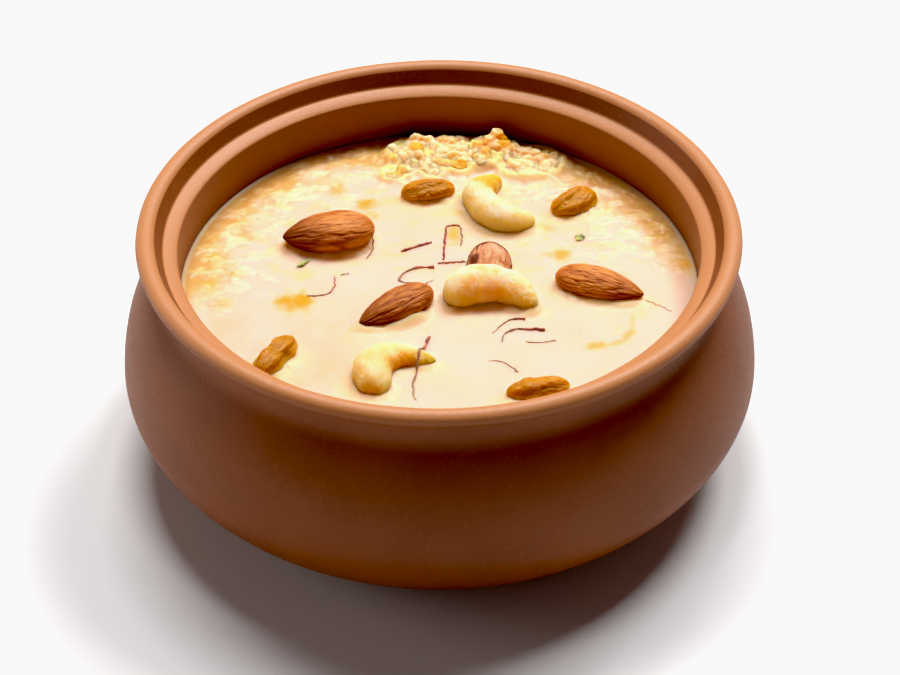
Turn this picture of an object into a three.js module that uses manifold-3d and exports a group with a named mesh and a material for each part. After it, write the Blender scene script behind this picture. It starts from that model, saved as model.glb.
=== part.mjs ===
// Kheer: rice pudding in a terracotta bowl, with almonds, cashews, raisins and saffron on top.
// Millimetres, +Z up. The origin is the middle of the bowl's flat base.
import * as THREE from 'three';
import { mergeVertices } from 'three/addons/utils/BufferGeometryUtils.js';
import Module from 'manifold-3d';

const wasm = await Module();
wasm.setup();

// Bowl
const bowlHeight = 66;
const lipRadius = 75;               // outermost point of the rolled lip
const lipRoll = { across: 2.45, up: 2.2 };   // half width and half height of the roll
const seat = { outer: 68.4, outerZ: 61.3, inner: 64.9, innerZ: 59.6 };   // ledge for a lid
const neckRadius = 69.4;
const neckTopZ = 59.8;              // the roll overhangs the neck from here up
const neckBottomZ = 55.4;
const bellyRadius = 80.2;
const bellyZ = 25;                  // height of the widest ring
const baseRadius = 50;
const floorThickness = 5.5;
const floorRadius = 46;
const wallThickness = 5.2;
const shoulder = { outer: 21.9, outerRise: 33, inner: 21, innerRise: 25.65 };   // half axes
const rollStart = -115;             // degrees round the lip's roll, from its underside to the seat
const rollEnd = 180;
const bowlSegments = 48;

// Kheer
const milkLevel = 47.6;
const fitGap = 0.3;                 // between any two touching pieces
const weldDistance = 1e-4;
const heapSeed = 11;
const grain = { length: 6.2, width: 2.1 };
const grainFaces = { sides: 5, rings: 4 };
const moundFaces = { sides: 14, rings: 8 };
const grainTries = 600;
const grainLift = 0.2;              // of a grain's middle over the mound it lies on
const clearRoom = 1.5;              // kept free of rice round a nut and along the wall
const thread = { width: 0.8, height: 0.6 };
const sliver = { width: 1.4, height: 0.9 };

// Nuts and raisins
const almondTip = 0.68;             // higher is more pointed
const almondButt = 0.5;             // a round end
const almondFullness = 0.985;       // brings the widest ring to the stated width
const cashewEnds = 2.6;             // higher is blunter
const cashewReach = 12;             // from its middle to the farthest end
const raisinFolds = [{ count: 5, depth: 0.08 }, { count: 3, depth: 0.04 }];
const foldTwist = 1.7;              // how far the folds wind from middle to end, in radians
const pocketGrowth = 1.25 * fitGap; // facets fall short of the curve between their corners

const colours = {
  terracotta: 0xb9683f,
  kheer: 0xfbe3bf,
  almond: 0xb5622a,
  paleAlmond: 0xcf8465,
  cashew: 0xe2b765,
  raisin: 0xa9702a,
};
const material = (color, roughness) => new THREE.MeshStandardMaterial({ color, roughness, metalness: 0 });

// A repeatable draw from 0 to 1.
function seeded(seed) {
  let state = seed >>> 0;
  return () => {
    state = (state + 0x6d2b79f5) >>> 0;
    let mixed = Math.imul(state ^ (state >>> 15), state | 1);
    mixed ^= mixed + Math.imul(mixed ^ (mixed >>> 7), mixed | 61);
    return ((mixed ^ (mixed >>> 14)) >>> 0) / 4294967296;
  };
}

// Points on an ellipse in the profile's plane, both ends included.
function arc(centreR, centreZ, halfR, halfZ, fromDeg, toDeg, steps) {
  return Array.from({ length: steps + 1 }, (_, i) => {
    const angle = THREE.MathUtils.degToRad(fromDeg + ((toDeg - fromDeg) * i) / steps);
    return new THREE.Vector2(centreR + halfR * Math.cos(angle), centreZ + halfZ * Math.sin(angle));
  });
}

// A lathe turns about Y, so it is stood up on Z.
function turned(profile, segments) {
  return new THREE.LatheGeometry(profile, segments).rotateX(Math.PI / 2);
}

function solid(geometry) {
  const bare = geometry.clone();
  bare.deleteAttribute('normal');
  bare.deleteAttribute('uv');
  const merged = mergeVertices(bare, weldDistance);
  return new wasm.Manifold(new wasm.Mesh({
    numProp: 3,
    vertProperties: merged.attributes.position.array,
    triVerts: merged.index.array,
  }));
}

// The body itself, without hollows that joining sealed or scraps that cutting left loose.
function mainBody(manifold) {
  return manifold.decompose().reduce((best, piece) => (piece.volume() > best.volume() ? piece : best));
}

function geometryOf(manifold) {
  const mesh = manifold.getMesh();
  const geometry = new THREE.BufferGeometry();
  geometry.setAttribute('position', new THREE.BufferAttribute(mesh.vertProperties, 3));
  geometry.setIndex(new THREE.BufferAttribute(mesh.triVerts, 1));
  geometry.computeVertexNormals();
  return geometry;
}

// The bowl's outside, from the middle of its base up to the top of the lip.
function outerProfile() {
  const lipCentreR = lipRadius - lipRoll.across;
  const lipCentreZ = bowlHeight - lipRoll.up;
  const bellyCentre = bellyRadius - shoulder.outer;
  const neckAngle = THREE.MathUtils.radToDeg(Math.acos((neckRadius - bellyCentre) / shoulder.outer));
  const neckBlend = 2.5;            // how far below the vertical neck the shoulder starts
  return [
    new THREE.Vector2(0, 0),
    ...arc(baseRadius, bellyZ, bellyRadius - baseRadius, bellyZ, -90, 0, 6),
    ...arc(bellyCentre, bellyZ, shoulder.outer, shoulder.outerRise, 0, neckAngle - neckBlend, 5).slice(1),
    new THREE.Vector2(neckRadius, neckBottomZ),
    new THREE.Vector2(neckRadius, neckTopZ),
    ...arc(lipCentreR, lipCentreZ, lipRoll.across, lipRoll.up, rollStart, rollEnd, 6),
  ];
}

// The bowl's inside below the lid seat, pulled in by a gap: straight down the neck, then out into the
// belly, which meets the neck at an angle, and round to the floor.
function innerProfile(gap) {
  const upperCentre = bellyRadius - wallThickness - shoulder.inner;
  const upperAcross = shoulder.inner - gap;
  const neckAngle = THREE.MathUtils.radToDeg(Math.acos((seat.inner - gap - upperCentre) / upperAcross));
  const lowerAcross = bellyRadius - wallThickness - floorRadius - gap;
  const lowerDepth = bellyZ - floorThickness - gap;
  return [
    ...arc(upperCentre, bellyZ, upperAcross, shoulder.innerRise - gap, neckAngle, 0, 5),
    ...arc(floorRadius, bellyZ, lowerAcross, lowerDepth, 0, -90, 5).slice(1),
    new THREE.Vector2(0, floorThickness + gap),
  ];
}

function bowlMesh() {
  const profile = [
    ...outerProfile(),
    new THREE.Vector2(seat.outer, seat.outerZ),
    new THREE.Vector2(seat.inner, seat.innerZ),
    ...innerProfile(0),
  ];
  const mesh = new THREE.Mesh(turned(profile, bowlSegments), material(colours.terracotta, 0.75));
  mesh.name = 'bowl';
  return mesh;
}

// Each vertex of a unit sphere, with its pole along X, is moved by a function of its place.
function shapedBall(sides, rings, shape) {
  const geometry = new THREE.SphereGeometry(1, sides, rings).rotateZ(-Math.PI / 2);
  const place = geometry.attributes.position;
  const point = new THREE.Vector3();
  for (let i = 0; i < place.count; i += 1) {
    point.fromBufferAttribute(place, i);
    shape(point);
    place.setXYZ(i, point.x, point.y, point.z);
  }
  geometry.deleteAttribute('normal');
  geometry.deleteAttribute('uv');
  const closed = mergeVertices(geometry, weldDistance);
  closed.computeVertexNormals();
  return closed;
}

// Along the pole the ring of a ball has this radius, and its direction is what is left.
function ringOf(point) {
  const ring = Math.hypot(point.y, point.z);
  return { ring, y: ring > 0 ? point.y / ring : 0, z: ring > 0 ? point.z / ring : 0 };
}

// An almond lies along X with its point at +X and is widest near its blunt end.
function almondGeometry({ length, width, thick }) {
  return shapedBall(12, 10, (point) => {
    const { y, z } = ringOf(point);
    const along = THREE.MathUtils.clamp(point.x, -1, 1);
    const ring = almondFullness * (1 - along) ** almondTip * (1 + along) ** almondButt;
    point.set((along * length) / 2, (y * ring * width) / 2, (z * ring * thick) / 2);
  });
}

// A cashew is a round bar bent along a curve, thicker at its first end.
function cashewGeometry({ spine, thickEnd, thinEnd, height }) {
  const curve = new THREE.CatmullRomCurve3(spine.map(([x, y, z]) => new THREE.Vector3(x, y, z)));
  return shapedBall(12, 12, (point) => {
    const { y, z } = ringOf(point);
    const along = THREE.MathUtils.clamp(point.x, -1, 1);
    const share = (along + 1) / 2;
    const centre = curve.getPointAt(share);
    const tangent = curve.getTangentAt(share).setZ(0).normalize();
    const ring = Math.sqrt(Math.max(0, 1 - Math.abs(along) ** cashewEnds));
    const half = (ring * THREE.MathUtils.lerp(thickEnd, thinEnd, share)) / 2;
    point.set(
      centre.x - tangent.y * y * half,
      centre.y + tangent.x * y * half,
      centre.z + z * half * height,
    );
  });
}

// A raisin is a plump ball with a few deep lengthwise folds.
function raisinGeometry({ length, width, thick, folds }) {
  const [many, few] = raisinFolds;
  return shapedBall(12, 8, (point) => {
    const turn = Math.atan2(point.z, point.y);
    const fine = many.depth * Math.sin(many.count * turn + folds + foldTwist * point.x);
    const broad = few.depth * Math.sin(few.count * turn - folds);
    const fold = 1 + fine + broad;
    point.set((point.x * length) / 2, (point.y * fold * width) / 2, (point.z * fold * thick) / 2);
  });
}

// What lies in the milk: where it is, how it is turned, and how high its middle stands over the milk.
const almonds = [
  { x: -28.1, y: 16.9, rise: 3.2, turn: 187, dip: 2, roll: 4, length: 23.6, width: 13.8, thick: 9.6 },
  { x: -10.8, y: -12.4, rise: 1.9, turn: 213, dip: 5, roll: -6, length: 21.4, width: 9.8, thick: 7.8 },
  { x: 40.0, y: -4.0, rise: 2.0, turn: -19, dip: 2, roll: 5, length: 23.0, width: 10.2, thick: 7.8 },
  { x: 12.5, y: 4.8, rise: -1.0, turn: 268, dip: 32, roll: 0, length: 17.0, width: 11.8, thick: 7.6 },
];
const cashews = [
  {
    x: 15.1, y: 30.0, rise: 2.2, thickEnd: 8.6, thinEnd: 9.4, height: 0.95,
    spine: [[0.6, 12.0, -0.4], [-4.8, 4.0, 0], [0.4, -5.8, 0], [9.6, -7.0, -0.2]],
  },
  {
    x: 12.3, y: -7.6, rise: 2.8, thickEnd: 13.0, thinEnd: 8.0, height: 0.98,
    spine: [[-10.6, -3.0, 0], [-4.0, 1.6, 0.3], [4.6, 1.2, 0.1], [11.8, -4.4, -1.2]],
  },
  {
    x: -12.0, y: -35.0, rise: 1.4, thickEnd: 12.6, thinEnd: 5.4, height: 0.86,
    spine: [[-3.2, -10.2, 0], [-4.0, -0.8, 0.4], [1.4, 3.6, 0], [11.0, 2.4, -0.4]],
  },
];
const raisins = [
  { x: -2.8, y: 36.9, rise: 1.6, turn: 10, length: 14.2, width: 7.4, thick: 6.2, folds: 0.4 },
  { x: 35.0, y: 31.6, rise: 1.5, turn: 36, length: 13.8, width: 8.6, thick: 6.4, folds: 1.9 },
  { x: -39.9, y: -31.0, rise: 1.5, turn: 60, length: 16.0, width: 7.0, thick: 6.2, folds: 3.1 },
  { x: 23.5, y: -43.7, rise: 1.2, turn: 12, length: 15.6, width: 6.6, thick: 5.6, folds: 4.6 },
];

function placed(name, geometry, surface, { x, y, rise, turn = 0, dip = 0, roll = 0 }) {
  const mesh = new THREE.Mesh(geometry, surface);
  mesh.name = name;
  mesh.position.set(x, y, milkLevel + rise);
  mesh.rotation.order = 'ZYX';
  mesh.rotation.set(...[roll, dip, turn].map(THREE.MathUtils.degToRad));
  mesh.updateMatrixWorld();
  return mesh;
}

function nutMeshes() {
  const paleOne = almonds.length - 1;
  return [
    ...almonds.map((nut, i) => {
      const colour = i === paleOne ? colours.paleAlmond : colours.almond;
      return placed(`almond_${i + 1}`, almondGeometry(nut), material(colour, 0.45), nut);
    }),
    ...cashews.map((nut, i) => (
      placed(`cashew_${i + 1}`, cashewGeometry(nut), material(colours.cashew, 0.4), nut))),
    ...raisins.map((nut, i) => (
      placed(`raisin_${i + 1}`, raisinGeometry(nut), material(colours.raisin, 0.4), nut))),
  ];
}

// The same piece, grown outwards all over by the gap, in the bowl's frame: it cuts the pocket it lies in.
function pocketOf(mesh) {
  const geometry = mesh.geometry.clone();
  const place = geometry.attributes.position;
  const normal = geometry.attributes.normal;
  for (let i = 0; i < place.count; i += 1) {
    place.setXYZ(
      i,
      place.getX(i) + normal.getX(i) * pocketGrowth,
      place.getY(i) + normal.getY(i) * pocketGrowth,
      place.getZ(i) + normal.getZ(i) * pocketGrowth,
    );
  }
  return solid(geometry.applyMatrix4(mesh.matrixWorld));
}

// Rice stands in a row of peaks near the back wall and lies low along the walls beside it.
const riceBeds = [
  { x: -6.0, y: 56.0, across: 8.0, along: 6.5, rise: 4.6, grains: 8 },
  { x: 3.5, y: 55.5, across: 10.0, along: 7.5, rise: 4.0, grains: 10 },
  { x: 13.6, y: 56.2, across: 8.0, along: 6.0, rise: 6.0, grains: 8 },
  { x: 24.0, y: 51.5, across: 9.5, along: 6.5, rise: 3.0, grains: 9 },
  { x: -32.5, y: 44.5, across: 20.0, along: 8.0, rise: 0.8, grains: 9, turn: 34 },
  { x: -54.8, y: 8.0, across: 6.0, along: 20.0, rise: 0.6, grains: 8 },
  { x: 51.0, y: 22.5, across: 7.0, along: 19.0, rise: 0.8, grains: 8, turn: 16 },
];

function bedPoint(bed, draw) {
  const angle = 2 * Math.PI * draw();
  const reach = Math.sqrt(draw());
  const local = new THREE.Vector2(bed.across * reach * Math.cos(angle), bed.along * reach * Math.sin(angle));
  local.rotateAround(new THREE.Vector2(0, 0), THREE.MathUtils.degToRad(bed.turn ?? 0));
  return { x: bed.x + local.x, y: bed.y + local.y, height: bed.rise * Math.sqrt(1 - reach ** 2) };
}

function grainSolid(x, y, z, turn, tilt, size) {
  const ball = new THREE.SphereGeometry(0.5, grainFaces.sides, grainFaces.rings)
    .rotateZ(Math.PI / 2)
    .scale(grain.length * size, grain.width * size, grain.width * size)
    .rotateY(tilt)
    .rotateZ(turn)
    .translate(x, y, z);
  return solid(ball);
}

// True where no nut lies near and the wall is at least half a grain away.
function isFree(x, y) {
  const nearWall = Math.hypot(x, y) > seat.inner - fitGap - grain.length / 2;
  const nearNut = [...almonds, ...cashews, ...raisins].some((nut) => {
    const reach = nut.length ? nut.length / 2 : cashewReach;
    return Math.hypot(x - nut.x, y - nut.y) < reach + clearRoom;
  });
  return !nearWall && !nearNut;
}

function riceSolids() {
  const draw = seeded(heapSeed);
  const solids = [];
  for (const bed of riceBeds) {
    const mound = new THREE.SphereGeometry(1, moundFaces.sides, moundFaces.rings)
      .rotateX(Math.PI / 2)
      .scale(bed.across, bed.along, bed.rise)
      .rotateZ(THREE.MathUtils.degToRad(bed.turn ?? 0))
      .translate(bed.x, bed.y, milkLevel);
    solids.push(solid(mound));
    for (let laid = 0, tries = 0; laid < bed.grains && tries < grainTries; tries += 1) {
      const { x, y, height } = bedPoint(bed, draw);
      const turn = Math.PI * draw();
      const tilt = 0.5 * (draw() - 0.5);
      const size = 0.8 + 0.4 * draw();
      if (isFree(x, y)) {
        solids.push(grainSolid(x, y, milkLevel + height + grainLift, turn, tilt, size));
        laid += 1;
      }
    }
  }
  return solids;
}

// Saffron threads as routes on the milk, each a few points apart, and two slivers of pistachio.
const threads = [
  [[-9.7, 12.8], [-5.9, 14.9], [-2.0, 16.7]],
  [[-1.4, 6.0], [-5.6, 5.8], [-9.4, 3.0], [-9.7, 0.2], [-6.7, -0.5]],
  [[2.0, 23.6], [1.4, 16.5], [1.2, 9.4]],
  [[2.0, 23.6], [4.9, 23.4], [5.9, 19.0], [5.5, 15.3]],
  [[0.0, 7.9], [2.4, 8.0], [5.1, 8.1]],
  [[13.1, -20.6], [16.6, -16.2], [18.2, -15.4], [20.6, -16.0]],
  [[15.1, -24.5], [16.1, -21.0], [19.0, -19.3], [22.1, -19.4], [25.9, -19.7]],
  [[20.9, -24.2], [24.8, -24.6], [28.5, -23.7]],
  [[11.9, -31.5], [14.9, -31.9], [16.8, -33.3], [18.8, -35.9]],
  [[-6.3, -38.3], [-6.9, -42.9], [-5.7, -46.4]],
  [[-26.4, 2.2], [-26.2, -0.5], [-27.6, -4.4], [-32.9, -5.8]],
];
const slivers = [
  [[-36.0, 6.1], [-32.7, 10.1]],
  [[35.0, 17.9], [37.0, 19.1]],
];

// The strip lies half in the milk, so its section reaches further down than up.
function stripSolid(route, { width, height }) {
  const curve = new THREE.CatmullRomCurve3(route.map(([x, y]) => new THREE.Vector3(x, y, milkLevel)));
  const section = new THREE.Shape([
    new THREE.Vector2(-height, -width / 2),
    new THREE.Vector2(height / 2, -width / 2),
    new THREE.Vector2(height / 2, width / 2),
    new THREE.Vector2(-height, width / 2),
  ]);
  const steps = 2 * (route.length - 1);
  return solid(new THREE.ExtrudeGeometry(section, { steps, extrudePath: curve, bevelEnabled: false }));
}

function kheerMesh(nuts) {
  const profile = [
    new THREE.Vector2(0, milkLevel),
    new THREE.Vector2(seat.inner - fitGap, milkLevel),
    ...innerProfile(fitGap),
  ].reverse();
  let kheer = solid(turned(profile, bowlSegments));
  const toppings = [
    ...riceSolids(),
    ...threads.map((route) => stripSolid(route, thread)),
    ...slivers.map((route) => stripSolid(route, sliver)),
  ];
  for (const piece of toppings) kheer = kheer.add(piece);
  for (const nut of nuts) kheer = kheer.subtract(pocketOf(nut));
  const mesh = new THREE.Mesh(geometryOf(mainBody(kheer)), material(colours.kheer, 0.35));
  mesh.name = 'kheer';
  return mesh;
}

const dish = new THREE.Group();
const nuts = nutMeshes();
dish.add(bowlMesh(), kheerMesh(nuts), ...nuts);

export default dish;
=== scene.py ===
# Kheer in a terracotta bowl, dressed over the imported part.
# +Z is up and the origin is in the middle of the bowl's base. Tables hold millimetres and degrees, but
# the camera's place, the lamps and the floor are in metres, and so is all that goes into a mesh.
import math
import random

import bpy
import numpy as np
from mathutils import Matrix, Vector, noise
from mathutils.bvhtree import BVHTree


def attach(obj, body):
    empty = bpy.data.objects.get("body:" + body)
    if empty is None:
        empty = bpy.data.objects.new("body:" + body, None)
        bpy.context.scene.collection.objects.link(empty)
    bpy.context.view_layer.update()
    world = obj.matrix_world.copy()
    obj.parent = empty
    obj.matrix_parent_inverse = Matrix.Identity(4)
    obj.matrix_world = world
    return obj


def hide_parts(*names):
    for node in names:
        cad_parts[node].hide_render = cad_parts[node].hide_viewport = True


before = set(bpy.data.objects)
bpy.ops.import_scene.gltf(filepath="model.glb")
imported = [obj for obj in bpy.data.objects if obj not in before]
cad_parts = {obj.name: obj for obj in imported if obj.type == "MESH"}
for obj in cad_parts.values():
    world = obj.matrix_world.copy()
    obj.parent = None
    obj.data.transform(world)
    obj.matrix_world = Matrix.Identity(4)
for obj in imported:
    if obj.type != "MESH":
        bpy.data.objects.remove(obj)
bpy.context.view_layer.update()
mm = 0.001


def freshSelection():
    if bpy.context.mode != "OBJECT":
        bpy.ops.object.mode_set(mode="OBJECT")
    bpy.ops.object.select_all(action="DESELECT")


def pickOnly(*pieces):
    freshSelection()
    for piece in pieces:
        piece.select_set(True)
    bpy.context.view_layer.objects.active = pieces[0]


def addPiece(adder, name, **settings):
    freshSelection()
    adder(**settings)
    piece = bpy.context.active_object
    piece.name = name
    piece.data.name = name
    return piece


def applyModifier(piece, kind, **settings):
    pickOnly(piece)
    modifier = piece.modifiers.new(kind.title(), kind)
    for key, value in settings.items():
        setattr(modifier, key, value)
    bpy.ops.object.modifier_apply(modifier=modifier.name)


def smoothShade(piece):
    pickOnly(piece)
    bpy.ops.object.shade_smooth()


def turnOutward(piece):
    pickOnly(piece)
    bpy.ops.object.mode_set(mode="EDIT")
    bpy.ops.mesh.select_all(action="SELECT")
    bpy.ops.mesh.normals_make_consistent(inside=False)
    bpy.ops.object.mode_set(mode="OBJECT")


def newBall(name, fine, **settings):  # fine is how many segments and rings it has
    return addPiece(bpy.ops.mesh.primitive_uv_sphere_add, name, segments=fine[0], ring_count=fine[1],
                    radius=1.0, **settings)


def joinPieces(pieces, name):
    pickOnly(*pieces)
    bpy.ops.object.join()
    joined = bpy.context.active_object
    joined.name = name
    joined.data.name = name
    return joined


def pointsOf(piece):  # every vertex in millimetres
    flat = np.empty(len(piece.data.vertices) * 3)
    piece.data.vertices.foreach_get("co", flat)
    return flat.reshape(-1, 3) / mm


def movePoints(piece, points):
    piece.data.vertices.foreach_set("co", (points * mm).ravel())
    piece.data.update()


def normalsOf(piece):
    flat = np.empty(len(piece.data.vertices) * 3, np.float32)
    piece.data.vertex_normals.foreach_get("vector", flat)
    return flat.reshape(-1, 3).astype(float)


def paint(piece, name, values):  # a number at every vertex, for a material to read
    layer = piece.data.attributes.new(name, "FLOAT", "POINT")
    layer.data.foreach_set("value", np.clip(values, 0, 1).astype(np.float32))


def softStep(low, high, value):
    share = np.clip((value - low) / (high - low), 0, 1)
    return share * share * (3 - 2 * share)


def noiseAt(points, size, shift=0.0, octaves=2):  # about -1 to 1, size is the length of one swell
    step = Vector((shift, shift * 0.7, -shift))
    found = np.empty(len(points))
    for i, (x, y, z) in enumerate(points / size):
        found[i] = noise.fractal(Vector((x, y, z)) + step, 1.0, 2.0, octaves)
    return found


def cavityOf(piece, rounds):  # how far a vertex lies below its smoothed surroundings
    points = pointsOf(piece)
    edges = np.empty(len(piece.data.edges) * 2, np.int64)
    piece.data.edges.foreach_get("vertices", edges)
    first, second = edges.reshape(-1, 2).T
    count = np.bincount(np.concatenate((first, second)), minlength=len(points))[:, None]
    smooth = points.copy()
    for _ in range(rounds):
        total = np.zeros_like(smooth)
        np.add.at(total, first, smooth[second])
        np.add.at(total, second, smooth[first])
        smooth = 0.5 * smooth + 0.5 * total / np.maximum(count, 1)
    return ((smooth - points) * normalsOf(piece)).sum(1)


def smoothRoute(knots, count):  # evenly spaced points on a centripetal Catmull-Rom curve
    knots = np.array(knots, float)
    if knots.shape[1] == 2:
        knots = np.column_stack((knots, np.zeros(len(knots))))
    padded = np.vstack((2 * knots[0] - knots[1], knots, 2 * knots[-1] - knots[-2]))
    dense = []
    for k in range(1, len(padded) - 2):
        p = padded[k - 1:k + 3]
        gaps = [max(np.linalg.norm(p[i + 1] - p[i]) ** 0.5, 1e-6) for i in range(3)]
        out = (p[1] - p[0]) / gaps[0] - (p[2] - p[0]) / (gaps[0] + gaps[1]) + (p[2] - p[1]) / gaps[1]
        back = (p[2] - p[1]) / gaps[1] - (p[3] - p[1]) / (gaps[1] + gaps[2]) + (p[3] - p[2]) / gaps[2]
        out, back = out * gaps[1], back * gaps[1]
        for t in np.linspace(0, 1, 40, endpoint=False):
            dense.append((2 * t**3 - 3 * t**2 + 1) * p[1] + (t**3 - 2 * t**2 + t) * out
                         + (3 * t**2 - 2 * t**3) * p[2] + (t**3 - t**2) * back)
    dense = np.array(dense + [padded[-2]])
    length = np.concatenate(([0], np.cumsum(np.linalg.norm(np.diff(dense, axis=0), axis=1))))
    even = np.linspace(0, length[-1], count)
    return np.column_stack([np.interp(even, length, dense[:, i]) for i in range(3)])


def makeGroup(name, inputs, outputs):
    group = bpy.data.node_groups.new(name, "ShaderNodeTree")
    for label, value in inputs.items():
        kind = "NodeSocketColor" if isinstance(value, tuple) else "NodeSocketFloat"
        socket = group.interface.new_socket(label, in_out="INPUT", socket_type=kind)
        socket.default_value = value
    for label, kind in outputs.items():
        group.interface.new_socket(label, in_out="OUTPUT", socket_type=kind)
    return group, group.nodes.new("NodeGroupInput"), group.nodes.new("NodeGroupOutput")


def newNodes(group, *kinds):
    return [group.nodes.new("ShaderNode" + kind) for kind in kinds]


def wire(group, *routes):  # each route: a node, its output, the next node and its input
    for source, output, target, socket in routes:
        group.links.new(source.outputs[output], target.inputs[socket])


# Two colours in soft patches of a given size, and the mask that mixes them.
patches, patchesIn, patchesOut = makeGroup(
    "softPatches",
    {"First": (1, 1, 1, 1), "Second": (0, 0, 0, 1), "Scale": 50.0, "Low": 0.35, "High": 0.65},
    {"Color": "NodeSocketColor", "Mask": "NodeSocketFloat"},
)
patchPlace, patchNoise, patchRange, patchMix = newNodes(patches, "TexCoord", "TexNoise", "MapRange", "Mix")
patchNoise.inputs["Detail"].default_value = 3.0
patchRange.interpolation_type = "SMOOTHSTEP"
patchMix.data_type = "RGBA"
wire(
    patches,
    (patchPlace, "Object", patchNoise, "Vector"), (patchesIn, "Scale", patchNoise, "Scale"),
    (patchNoise, "Fac", patchRange, "Value"), (patchesIn, "Low", patchRange, "From Min"),
    (patchesIn, "High", patchRange, "From Max"), (patchRange, "Result", patchMix, "Factor"),
    (patchesIn, "First", patchMix, "A"), (patchesIn, "Second", patchMix, "B"),
    (patchMix, "Result", patchesOut, "Color"), (patchRange, "Result", patchesOut, "Mask"),
)

# Fine relief as a normal, and its height.
relief, reliefIn, reliefOut = makeGroup(
    "fineRelief",
    {"Scale": 1000.0, "Depth": 0.0001},
    {"Normal": "NodeSocketVector", "Height": "NodeSocketFloat"},
)
reliefPlace, reliefNoise, reliefBump = newNodes(relief, "TexCoord", "TexNoise", "Bump")
reliefNoise.inputs["Detail"].default_value = 5.0
reliefNoise.inputs["Roughness"].default_value = 0.6
wire(
    relief,
    (reliefPlace, "Object", reliefNoise, "Vector"), (reliefIn, "Scale", reliefNoise, "Scale"),
    (reliefNoise, "Fac", reliefBump, "Height"), (reliefIn, "Depth", reliefBump, "Distance"),
    (reliefBump, "Normal", reliefOut, "Normal"), (reliefNoise, "Fac", reliefOut, "Height"),
)

# Noise drawn out along a nut. It follows the nut's own lie, kept at every vertex.
grain, grainIn, grainOut = makeGroup("nutGrain", {"Scale": 4.0, "Detail": 3.0}, {"Fac": "NodeSocketFloat"})
grainLie, grainNoise = newNodes(grain, "Attribute", "TexNoise")
grainLie.attribute_name = "lie"
wire(
    grain,
    (grainLie, "Vector", grainNoise, "Vector"), (grainIn, "Scale", grainNoise, "Scale"),
    (grainIn, "Detail", grainNoise, "Detail"), (grainNoise, "Fac", grainOut, "Fac"),
)


class Paintbox:  # one material, and short ways to add its nodes
    def __init__(self, name, **settings):
        self.material = bpy.data.materials.new(name)
        self.material.use_nodes = True
        self.nodes = self.material.node_tree.nodes
        self.links = self.material.node_tree.links
        self.shader = self.nodes["Principled BSDF"]
        self.shader.inputs["Subsurface Scale"].default_value = 1.0  # radii are then in metres
        for label, value in settings.items():
            self.shader.inputs[label.replace("_", " ")].default_value = value

    def node(self, kind, **settings):
        node = self.nodes.new("ShaderNode" + kind)
        for key, value in settings.items():
            setattr(node, key, value)
        return node

    def fill(self, node, values):  # each value is a colour, a number or another node's output
        for label, value in values.items():
            socket = node.inputs[label]
            if isinstance(value, tuple):
                socket.default_value = (*value, 1)
            elif isinstance(value, float):
                socket.default_value = value
            else:
                self.links.new(value, socket)
        return node.outputs

    def feed(self, label, value):
        self.links.new(value, self.shader.inputs[label])

    def patches(self, first, second, scale, low=0.35, high=0.65, output="Color"):
        values = {"First": first, "Second": second, "Scale": scale, "Low": low, "High": high}
        return self.fill(self.node("Group", node_tree=patches), values)[output]

    def grain(self, scale, detail=3.0):
        return self.fill(self.node("Group", node_tree=grain), {"Scale": scale, "Detail": detail})["Fac"]

    def relief(self, scale, depth):
        made = self.fill(self.node("Group", node_tree=relief), {"Scale": scale, "Depth": depth})
        self.feed("Normal", made["Normal"])
        return made["Height"]

    def roughen(self, scale, depth, least, most):  # relief, with a roughness that follows it
        self.feed("Roughness", self.rescale(self.relief(scale, depth), 0.3, 0.7, least, most))

    def bump(self, height, depth):
        self.feed("Normal", self.fill(self.node("Bump"), {"Height": height, "Distance": depth})["Normal"])

    def painted(self, name):
        return self.node("Attribute", attribute_name=name).outputs["Fac"]

    def mix(self, share, first, second):
        node = self.node("Mix", data_type="RGBA")
        return self.fill(node, {"Factor": share, "A": first, "B": second})["Result"]

    def stained(self, tone, **colours):  # each painted place over the tone, in its own colour
        for name, colour in colours.items():
            tone = self.mix(self.painted(name), tone, colour)
        return tone

    def rescale(self, value, low, high, toLow=0.0, toHigh=1.0):
        values = {"Value": value, "From Min": low, "From Max": high, "To Min": toLow, "To Max": toHigh}
        return self.fill(self.node("MapRange"), values)["Result"]

    def times(self, first, second):
        return self.fill(self.node("Math", operation="MULTIPLY"), {0: first, 1: second})["Value"]

    def cells(self, scale):  # distance to the nearest of many scattered dots
        place = self.node("TexCoord").outputs["Object"]
        return self.fill(self.node("TexVoronoi"), {"Vector": place, "Scale": scale})["Distance"]

    def cover(self, piece):
        piece.data.materials.clear()
        piece.data.materials.append(self.material)


def terracottaLook():
    box = Paintbox("terracotta", Roughness=0.5, IOR=1.5, Specular_IOR_Level=0.32, Coat_Roughness=0.45)
    broad = box.patches((0.23, 0.070, 0.020), (0.195, 0.057, 0.015), 45.0, 0.3, 0.7)
    fine = box.patches(broad, (0.26, 0.082, 0.025), 1100.0, 0.5, 0.85)
    # the lighter clay is partly rubbed wear and partly painted light, where the lamps fall on lip, seat and
    # inner wall
    wornAndLit = box.mix(box.times(box.painted("wearAndLight"), 0.8), fine, (0.54, 0.228, 0.088))
    # painted shade: darker clay on the inner wall just above the milk
    box.feed("Base Color", box.mix(box.times(box.painted("shadeAboveMilk"), 0.4), wornAndLit, (0.14, 0.036, 0.01)))
    box.feed("Coat Weight", box.times(box.painted("wearAndLight"), 0.12))
    box.roughen(1400.0, 0.00008, 0.44, 0.6)
    return box


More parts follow.
